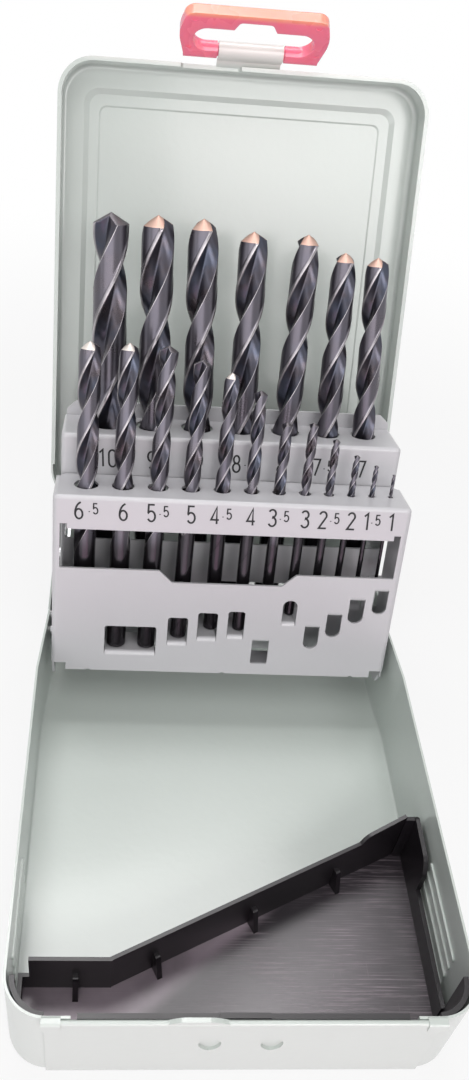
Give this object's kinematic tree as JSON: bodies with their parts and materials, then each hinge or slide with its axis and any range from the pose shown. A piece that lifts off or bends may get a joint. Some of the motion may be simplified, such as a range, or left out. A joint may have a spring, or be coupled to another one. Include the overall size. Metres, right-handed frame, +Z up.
{
  "type": "drill bit case",
  "caption": "Hinged sheet-steel twist-drill case, open: two tilting index racks rise with the lid, each drill lifts out, with a black moulded insert and a red hanger latch.",
  "frame": {"origin": "centre of the tray's underside, on the surface it stands on", "axes": "+Z up, +Y from the latch side towards the hinge, +X to the right seen from the front"},
  "size_m": [0.112, 0.2314, 0.1846],
  "materials": {
    "enamel": "pale grey-green enamel, semi-gloss",
    "rack_enamel": "light grey enamel, satin",
    "black_plastic": "glossy black moulded plastic",
    "red_plastic": "translucent-looking red plastic",
    "drill_steel": "black-oxide high-speed steel",
    "bright_steel": "bright zinc-plated steel"
  },
  "bodies": {
    "base": {"tray": "enamel", "insert": "black_plastic", "hinge_rivets": "bright_steel", "rack_pivots": "bright_steel"},
    "lid": {"lid": "enamel", "lid_pins": "bright_steel"},
    "latch": {"latch": "red_plastic"},
    "front_rack": {"front_rack": "rack_enamel", "drive_pins": "bright_steel"},
    "back_rack": {"back_rack": "rack_enamel", "link_pins": "bright_steel"},
    "link_left": {"link_left": "bright_steel"},
    "link_right": {"link_right": "bright_steel"},
    "drill_6_5": {"drill_6_5": "drill_steel"},
    "drill_6_0": {"drill_6_0": "drill_steel"},
    "drill_5_5": {"drill_5_5": "drill_steel"},
    "drill_5_0": {"drill_5_0": "drill_steel"},
    "drill_4_5": {"drill_4_5": "drill_steel"},
    "drill_4_0": {"drill_4_0": "drill_steel"},
    "drill_3_5": {"drill_3_5": "drill_steel"},
    "drill_3_0": {"drill_3_0": "drill_steel"},
    "drill_2_5": {"drill_2_5": "drill_steel"},
    "drill_2_0": {"drill_2_0": "drill_steel"},
    "drill_1_5": {"drill_1_5": "drill_steel"},
    "drill_1_0": {"drill_1_0": "drill_steel"},
    "drill_10_0": {"drill_10_0": "drill_steel"},
    "drill_9_5": {"drill_9_5": "drill_steel"},
    "drill_9_0": {"drill_9_0": "drill_steel"},
    "drill_8_5": {"drill_8_5": "drill_steel"},
    "drill_8_0": {"drill_8_0": "drill_steel"},
    "drill_7_5": {"drill_7_5": "drill_steel"},
    "drill_7_0": {"drill_7_0": "drill_steel"}
  },
  "joints": [
    {"name": "lid_hinge", "type": "hinge", "parent": "base", "child": "lid", "pos_m": [0, 0.06785, 0.0289], "axis": [-1, 0, 0], "range_deg": [-115, 0]},
    {"name": "latch_hinge", "type": "hinge", "parent": "lid", "child": "latch", "pos_m": [0, 0.13421, 0.17097], "axis": [1, 0, 0], "range_deg": [-100, 31.5]},
    {"name": "front_rack_hinge", "type": "hinge", "parent": "base", "child": "front_rack", "pos_m": [0, 0.04128, 0.0202], "axis": [1, 0, 0], "range_deg": [0, 106.01]},
    {"name": "back_rack_hinge", "type": "hinge", "parent": "base", "child": "back_rack", "pos_m": [0, 0.04503, 0.02349], "axis": [1, 0, 0], "range_deg": [0, 106.01]},
    {"name": "link_left_hinge", "type": "hinge", "parent": "back_rack", "child": "link_left", "pos_m": [0, 0.05267, 0.03245], "axis": [1, 0, 0], "range_deg": [-106.01, 0]},
    {"name": "link_right_hinge", "type": "hinge", "parent": "back_rack", "child": "link_right", "pos_m": [0, 0.05267, 0.03245], "axis": [1, 0, 0], "range_deg": [-106.01, 0]},
    {"name": "drill_6_5_lift", "type": "slide", "parent": "front_rack", "child": "drill_6_5", "axis": [0.0036, 0.3408, 0.9401], "range_m": [0, 0.06]},
    {"name": "drill_6_0_lift", "type": "slide", "parent": "front_rack", "child": "drill_6_0", "axis": [0.0072, 0.3557, 0.9346], "range_m": [0, 0.054]},
    {"name": "drill_5_5_lift", "type": "slide", "parent": "front_rack", "child": "drill_5_5", "axis": [0.0241, 0.3592, 0.933], "range_m": [0, 0.054]},
    {"name": "drill_5_0_lift", "type": "slide", "parent": "front_rack", "child": "drill_5_0", "axis": [0.0249, 0.3658, 0.9304], "range_m": [0, 0.05]},
    {"name": "drill_4_5_lift", "type": "slide", "parent": "front_rack", "child": "drill_4_5", "axis": [0.0028, 0.3149, 0.9491], "range_m": [0, 0.048]},
    {"name": "drill_4_0_lift", "type": "slide", "parent": "front_rack", "child": "drill_4_0", "axis": [0.0066, 0.3656, 0.9307], "range_m": [0, 0.047]},
    {"name": "drill_3_5_lift", "type": "slide", "parent": "front_rack", "child": "drill_3_5", "axis": [0.0139, 0.3389, 0.9407], "range_m": [0, 0.048]},
    {"name": "drill_3_0_lift", "type": "slide", "parent": "front_rack", "child": "drill_3_0", "axis": [0.0184, 0.3471, 0.9377], "range_m": [0, 0.042]},
    {"name": "drill_2_5_lift", "type": "slide", "parent": "front_rack", "child": "drill_2_5", "axis": [0.0174, 0.3337, 0.9425], "range_m": [0, 0.043]},
    {"name": "drill_2_0_lift", "type": "slide", "parent": "front_rack", "child": "drill_2_0", "axis": [0.0236, 0.3306, 0.9435], "range_m": [0, 0.038]},
    {"name": "drill_1_5_lift", "type": "slide", "parent": "front_rack", "child": "drill_1_5", "axis": [0.0204, 0.3281, 0.9444], "range_m": [0, 0.033]},
    {"name": "drill_1_0_lift", "type": "slide", "parent": "front_rack", "child": "drill_1_0", "axis": [0.0139, 0.3209, 0.947], "range_m": [0, 0.029]},
    {"name": "drill_10_0_lift", "type": "slide", "parent": "back_rack", "child": "drill_10_0", "axis": [-0.0163, 0.2756, 0.9611], "range_m": [0, 0.074]},
    {"name": "drill_9_5_lift", "type": "slide", "parent": "back_rack", "child": "drill_9_5", "axis": [-0.0245, 0.2756, 0.961], "range_m": [0, 0.066]},
    {"name": "drill_9_0_lift", "type": "slide", "parent": "back_rack", "child": "drill_9_0", "axis": [-0.0392, 0.2754, 0.9605], "range_m": [0, 0.066]},
    {"name": "drill_8_5_lift", "type": "slide", "parent": "back_rack", "child": "drill_8_5", "axis": [-0.0273, 0.2755, 0.9609], "range_m": [0, 0.061]},
    {"name": "drill_8_0_lift", "type": "slide", "parent": "back_rack", "child": "drill_8_0", "axis": [0.0017, 0.2756, 0.9613], "range_m": [0, 0.061]},
    {"name": "drill_7_5_lift", "type": "slide", "parent": "back_rack", "child": "drill_7_5", "axis": [-0.0295, 0.2755, 0.9608], "range_m": [0, 0.057]},
    {"name": "drill_7_0_lift", "type": "slide", "parent": "back_rack", "child": "drill_7_0", "axis": [-0.0671, 0.275, 0.9591], "range_m": [0, 0.057]}
  ],
  "couplings": [
    {"joint": "front_rack_hinge", "follows": "lid_hinge", "ratio": -0.92174},
    {"joint": "back_rack_hinge", "follows": "lid_hinge", "ratio": -0.92174},
    {"joint": "link_left_hinge", "follows": "lid_hinge", "ratio": 0.92174},
    {"joint": "link_right_hinge", "follows": "lid_hinge", "ratio": 0.92174}
  ]
}
